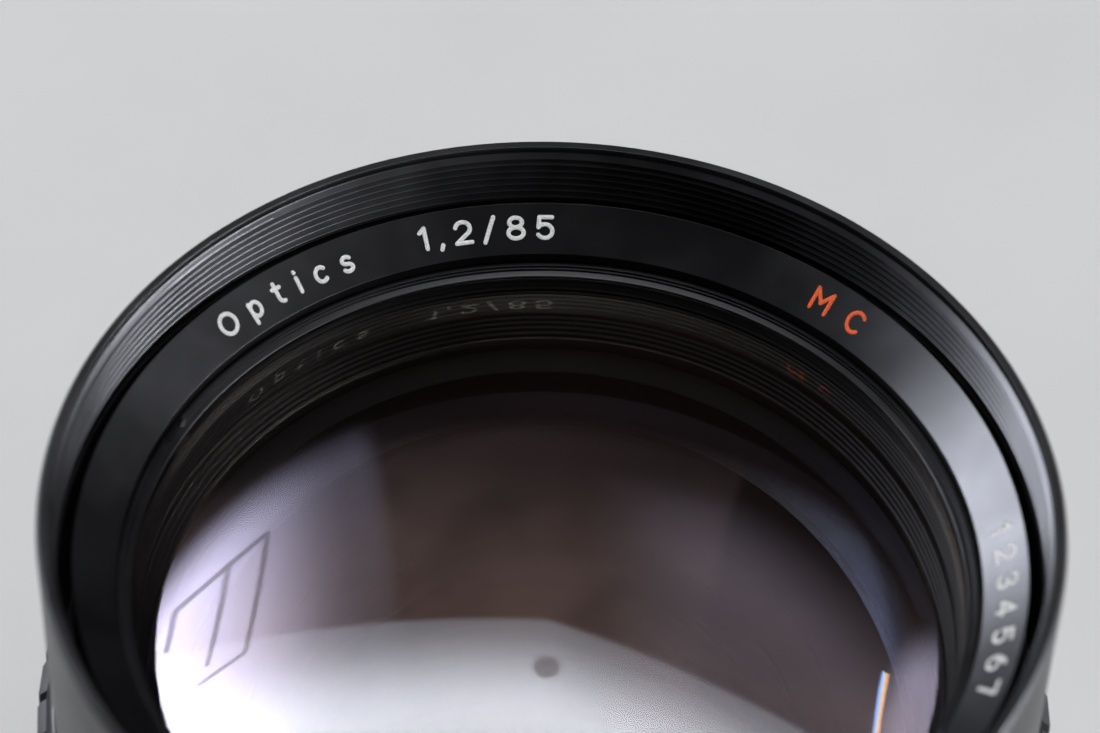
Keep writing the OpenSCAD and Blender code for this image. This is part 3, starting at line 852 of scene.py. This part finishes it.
def aperture_ring():
    flute_rows = [(AP_R, z, 0) for z in (FLUTE_LOW, 5.05, 5.2, 7.0, 9.2, 9.35, FLUTE_TOP)]
    prof = [(AP_BORE, AP_LOW), (AP_R - 0.3, AP_LOW, 0.12), (AP_R, AP_LOW + 0.3)] + flute_rows
    prof += [(AP_R, 9.8), (AP_R - 0.4, 10.2), (AP_R - 0.7, AP_TOP - 0.2), (AP_R - 0.9, AP_TOP, 0.08),
             (AP_BORE, AP_TOP), (AP_BORE, 10.9), (31.4, 10.9), (31.4, 9.1), (AP_BORE, 9.1)]
    revolve("aperture_ring_body", prof, M["scale"], "aperture_ring_unit", "aperture_ring",
            n=960, warp=flutes, sharp=28)


aperture_ring()

STOPS = ("1.2", "2", "2.8", "4", "5.6", "8", "11", "16")
AP_TURN = 45                          # degrees from the first stop to the last


def aperture_scale():
    w = Writer()
    for k, stop in enumerate(STOPS):
        w.face = barrel_face(FRONT - k * AP_TURN / (len(STOPS) - 1), 33.08, 12.0, 0.075)
        w.text(stop, 1.5, 0.13, 0.24)
    w.build("aperture_scale_numbers", M["white"], "aperture_ring_unit", "black_metal")


aperture_scale()

# ------------------------------------------------------------------ CAD nodes that are shown as they are
KEEP = {
    "steel": ["mount_screws", "key_screws", "scale_ring_screws", "click_ball", "click_spring",
              "barrel_set_screws", "diaphragm_screws", "cell_screws", "skirt_screws", "aperture_drive_pin",
              "stop_down_ring", "cam_ring"],
    "brass": ["guide_keys", "focus_retainer", "float_pins", "helicoid_bush"],
    "chrome": ["bayonet_mount"],
    "red": ["mount_index_dot"],
    "orange": ["index_bead"],
    "blade": ["blade_%d" % i for i in range(1, 10)],
    "barrel": ["main_barrel", "lens_tube"],
    "baffle": ["front_cell", "element_3_retainer", "diaphragm_base", "diaphragm_cover", "rear_cell",
               "element_4_retainer", "element_6_retainer", "floating_cell", "spacer_ring",
               "rear_retaining_ring"],
}
for material, names in KEEP.items():
    for name in names:
        kept = frame["nodes"][name].data
        kept.materials.clear()
        kept.materials.append(M[material])
        shade(kept, 30)

# ------------------------------------------------------------------ floor and lights


def floor():
    me = bpy.data.meshes.new("floor")
    half = 6.0                        # metres
    corners = [(x * half, y * half, FLOOR_Z) for x, y in ((-1, -1), (1, -1), (1, 1), (-1, 1))]
    me.from_pydata(corners, [], [(0, 1, 2, 3)])
    ob = bpy.data.objects.new("floor", me)
    bpy.context.scene.collection.objects.link(ob)
    m = Mat("pale_floor", (0.6, 0.6, 0.6), 0.7, 0.0, 0.3)
    m.tone(m.ramp(m.grain(0.02, 4.0), 0.3, 0.7), (0.58, 0.58, 0.585), (0.62, 0.62, 0.62))
    m.bump((m.grain(1.5, 3.0), 0.01))
    me.materials.append(m.m)


floor()


def area(name, direction, distance, size, watts, color=(1, 1, 1)):
    """A rectangular lamp that faces the middle of the rim. Sizes and distances of lights are in metres."""
    d = Vector(direction).normalized()
    data = bpy.data.lights.new(name, "AREA")
    data.shape = "RECTANGLE"
    data.size, data.size_y = size
    data.energy = watts
    data.color = color
    ob = bpy.data.objects.new(name, data)
    ob.location = CENTRE + d * distance
    ob.rotation_mode = "QUATERNION"
    ob.rotation_quaternion = d.to_track_quat("Z", "Y")
    bpy.context.scene.collection.objects.link(ob)
    return ob


def only(light, names, keep=True):
    """The light reaches just these objects, or all but these."""
    group = bpy.data.collections.new(light.name + "_receivers")
    for name in names:
        group.objects.link(bpy.data.objects[name])
    if not keep:
        for c in group.collection_objects:
            c.light_linking.link_state = "EXCLUDE"
    light.light_linking.receiver_collection = group


def highlight(*lamp):
    """A lamp whose light is mirrored by surfaces, and neither scattered nor let through by them."""
    ob = area(*lamp)
    ob.visible_diffuse = ob.visible_transmission = False
    return ob


ELEMENT_NAMES = ["element_%d_glass" % i for i in COAT]
fill = area("floor_fill", (0.1, 0.2, 1.0), 1.6, (1.6, 1.6), 31)
fill.visible_glossy = fill.visible_transmission = False
for lamp in (("overhead_softbox", (0.0, 0.12, 1.0), 1.2, (0.5, 0.35), 8, (0.93, 0.95, 1.0)),
             ("left_softbox", (-0.80, 0.42, 0.42), 1.0, (0.55, 0.46), 27, (0.84, 0.87, 1.0)),
             ("right_softbox", (0.93, -0.22, 0.28), 1.0, (0.85, 0.34), 31, (0.88, 0.9, 1.0)),
             ("front_fill", (0.0, -0.8, 0.42), 1.2, (1.0, 0.5), 0.6, (0.95, 0.96, 1.0))):
    only(highlight(*lamp), ELEMENT_NAMES, keep=False)
rim_light = highlight("rim_light", (0.93, -0.12, 0.36), 1.0, (0.8, 0.3), 62, (0.88, 0.9, 1.0))
only(rim_light, ["front_barrel_shell"])


class Sky(Nodes):
    """Brightness painted by direction: x to the right, y away from the camera, z up, elev in degrees."""

    def __init__(self, tree):
        super().__init__(tree)
        place = tree.nodes.new("ShaderNodeTexCoord").outputs["Object"]
        self.direction = self.vector("NORMALIZE", i0=place)
        split = tree.nodes.new("ShaderNodeSeparateXYZ")
        tree.links.new(self.direction, split.inputs[0])
        self.x, self.y, z = split.outputs
        self.elev = self.math("MULTIPLY", self.math("ARCSINE", z), 180 / math.pi)

    def step(self, value, lo, hi, a=0.0, b=1.0):
        """Runs smoothly from a at lo to b at hi."""
        return self.ramp(value, lo, hi, a, b, "SMOOTHSTEP")

    def times(self, *values):
        out = values[0]
        for value in values[1:]:
            out = self.math("MULTIPLY", out, value)
        return out

    def length(self, a, b):
        return self.math("SQRT", self.math("ADD", self.times(a, a), self.times(b, b)))

    def line(self, x0, y0, x1, y1, half):
        """1 on a thin straight line, 0 away from it."""
        dx, dy = x1 - x0, y1 - y0
        ax, ay = self.math("SUBTRACT", self.x, x0), self.math("SUBTRACT", self.y, y0)
        along = self.math("ADD", self.math("MULTIPLY", ax, dx), self.math("MULTIPLY", ay, dy))
        u = self.math("DIVIDE", along, dx * dx + dy * dy)
        u = self.math("MINIMUM", self.math("MAXIMUM", u, 0.0), 1.0)
        ex = self.math("SUBTRACT", ax, self.math("MULTIPLY", u, dx))
        ey = self.math("SUBTRACT", ay, self.math("MULTIPLY", u, dy))
        return self.step(self.length(ex, ey), half * 2, half * 0.6)

    def tinted(self, value, rgb):
        return self.vector("SCALE", i0=rgb, Scale=value)

    def plus(self, first, second):
        return self.vector("ADD", i0=first, i1=second)


WARM, COOL, VIOLET = (0.46, 0.40, 0.56), (0.36, 0.51, 0.92), (0.342, 0.405, 0.80)
PANE = ((-0.46, 0.66, -0.54, 0.41), (-0.54, 0.41, -0.62, 0.36), (-0.62, 0.53, -0.46, 0.66),
        (-0.62, 0.53, -0.65, 0.45), (-0.53, 0.60, -0.60, 0.40))          # bars of a window in the left side
SPLIT = 0.0035                        # how far dispersion moves a colour of the glint
GLINT = ((-SPLIT, (0.3, 0.8, 3.0)), (0.0, (0.8, 1.1, 1.2)), (SPLIT, (1.2, 0.7, 0.4)))


def sky_colour(s, outer):
    """The whole picture. outer is 1 where the front surface mirrors it and 0 from inside the lens."""
    def shared(inside):
        """Full outside, and this share of it inside."""
        return s.math("MULTIPLY_ADD", outer, 1 - inside, inside)

    room = s.times(s.step(s.elev, 22.5, 29.0), s.step(s.y, -0.30, -0.10))  # dark low down and by the camera
    across = s.math("MULTIPLY_ADD", s.math("MAXIMUM", s.x, 0.0), 0.35, s.y)
    # warm ceiling, with a lighter patch over the middle
    patch = s.times(s.step(s.elev, 30.0, 36.0), s.step(s.math("ABSOLUTE", s.x), 0.30, 0.28), 0.5)
    ceiling = s.math("ADD", s.step(across, 0.88, 0.45, 0.06, 2.3), patch)
    cloud = s.step(s.noise(s.direction, 3.5, 3.0), 0.3, 0.7, 0.65, 1.35)
    c = s.tinted(s.times(room, ceiling, cloud, shared(0.05)), WARM)
    # softbox over the lens, with a crisp lower edge and a dark spot in it
    lamp = s.times(s.math("POWER", s.step(across, 0.46, 0.20), 1.3), 46.0)
    edge = s.step(across, 0.445, 0.425, 0.0, 6.5)
    spot = s.step(s.length(s.x, s.math("SUBTRACT", s.y, 0.325)), 0.018, 0.034, 0.4, 1.0)
    c = s.plus(c, s.tinted(s.times(room, s.math("ADD", lamp, edge), spot, shared(0.008)), COOL))
    # bright window side on the left, and a second sheet of light low on the right
    glow = s.times(s.math("POWER", s.step(s.x, -0.29, -0.75), 1.5), 90.0)
    side = s.math("ADD", s.step(s.x, -0.26, -0.31, 0.0, 2.6), glow)
    side = s.times(side, s.step(s.math("MULTIPLY_ADD", s.x, 14.0, s.elev), 20.5, 28.5))
    bars = s.line(*PANE[0], 0.003)
    for bar in PANE[1:]:
        bars = s.math("MAXIMUM", bars, s.line(*bar, 0.003))
    side = s.times(side, s.math("MULTIPLY_ADD", bars, -0.6, 1.0))
    sheet = s.times(s.step(s.x, 0.585, 0.64), s.step(s.y, 0.58, 0.44), 16.0)
    right = s.math("ADD", sheet, s.times(s.step(s.x, 0.04, 0.3), s.step(s.elev, 36.0, 50.0), 3.2))
    c = s.plus(c, s.tinted(s.times(room, s.math("ADD", side, right), shared(0.03)), VIOLET))
    for shift, rgb in GLINT:          # a bright edge split by dispersion
        glint = s.line(0.592 + shift, 0.44, 0.608 + shift, 0.28, 0.0018)
        c = s.plus(c, s.tinted(s.times(glint, outer, 14.0), rgb))
    return c


def studio_dome():
    """The room as the glass sees it. Only glass receives it."""
    me = bpy.data.meshes.new("studio_dome")
    bm = bmesh.new()
    bmesh.ops.create_uvsphere(bm, u_segments=96, v_segments=48, radius=3.0)
    bm.to_mesh(me)
    bm.free()
    ob = bpy.data.objects.new("studio_dome", me)
    ob.location = CENTRE
    bpy.context.scene.collection.objects.link(ob)
    m = bpy.data.materials.new("studio_dome")
    m.use_nodes = True
    m.cycles.emission_sampling = "NONE"
    tree = m.node_tree
    tree.nodes.remove(tree.nodes["Principled BSDF"])
    sky = Sky(tree)
    path = tree.nodes.new("ShaderNodeLightPath")
    outer = sky.math("LESS_THAN", path.outputs["Transmission Depth"], 0.5)
    direct = sky.times(sky.math("LESS_THAN", path.outputs["Diffuse Depth"], 0.5),
                       sky.math("LESS_THAN", path.outputs["Glossy Depth"], 1.5))
    emission = tree.nodes.new("ShaderNodeEmission")
    tree.links.new(sky_colour(sky, outer), emission.inputs["Color"])
    tree.links.new(direct, emission.inputs["Strength"])
    tree.links.new(emission.outputs[0], tree.nodes["Material Output"].inputs["Surface"])
    me.materials.append(m)
    ob.visible_camera = ob.visible_diffuse = ob.visible_shadow = False
    only(ob, ELEMENT_NAMES)


studio_dome()


def world():
    """A pale backdrop for the camera, and a weaker grey for everything else."""
    w = bpy.data.worlds.new("studio")
    bpy.context.scene.world = w
    w.use_nodes = True
    n = Nodes(w.node_tree)
    ambient = n.t.nodes["Background"]
    ambient.inputs[0].default_value = (0.5, 0.52, 0.55, 1)
    ambient.inputs[1].default_value = 0.25
    pale = n.t.nodes.new("ShaderNodeBackground")
    pale.inputs[0].default_value = (0.6, 0.6, 0.61, 1)
    pale.inputs[1].default_value = 1.0
    path = n.t.nodes.new("ShaderNodeLightPath")
    both = n.mix_shader(path.outputs["Is Camera Ray"], ambient.outputs[0], pale.outputs[0])
    n.t.links.new(both, n.t.nodes["World Output"].inputs["Surface"])


world()

# ------------------------------------------------------------------ camera
ELEVATION, ROLL = math.radians(49.82), math.radians(2.284)
DISTANCE, AIM_UP, AIM_LEFT = 0.56966, 0.0115, 0.00065                    # metres from the middle of the rim
FOCUS = Vector((0, 0.034, (RIM - 6) * MM))                               # on the far lettering


def camera():
    data = bpy.data.cameras.new("camera")
    data.sensor_width = 36.0
    data.lens = 243.6
    data.clip_start, data.clip_end = 0.01, 50
    back = Vector((0, -math.cos(ELEVATION), math.sin(ELEVATION)))
    up = Vector((0, math.sin(ELEVATION), math.cos(ELEVATION)))
    place = CENTRE + back * DISTANCE
    z = (place - (CENTRE + up * AIM_UP - Vector((AIM_LEFT, 0, 0)))).normalized()
    x = up.cross(z).normalized()
    turn = Matrix((x, z.cross(x), z)).transposed() @ Matrix.Rotation(ROLL, 3, "Z")
    ob = bpy.data.objects.new("camera", data)
    ob.rotation_mode = "QUATERNION"
    ob.location = place
    ob.rotation_quaternion = turn.to_quaternion()
    bpy.context.scene.collection.objects.link(ob)
    focus = bpy.data.objects.new("focus_point", None)
    focus.location = FOCUS
    bpy.context.scene.collection.objects.link(focus)
    data.dof.use_dof = True
    data.dof.focus_object = focus
    data.dof.aperture_fstop = 20.0
    bpy.context.scene.camera = ob


camera()
scene = bpy.context.scene
scene.cycles.max_bounces = 24         # eight elements have sixteen faces
scene.cycles.transmission_bounces = 24
scene.cycles.glossy_bounces = 8
scene.cycles.transparent_max_bounces = 24
scene.view_settings.view_transform = "Standard"
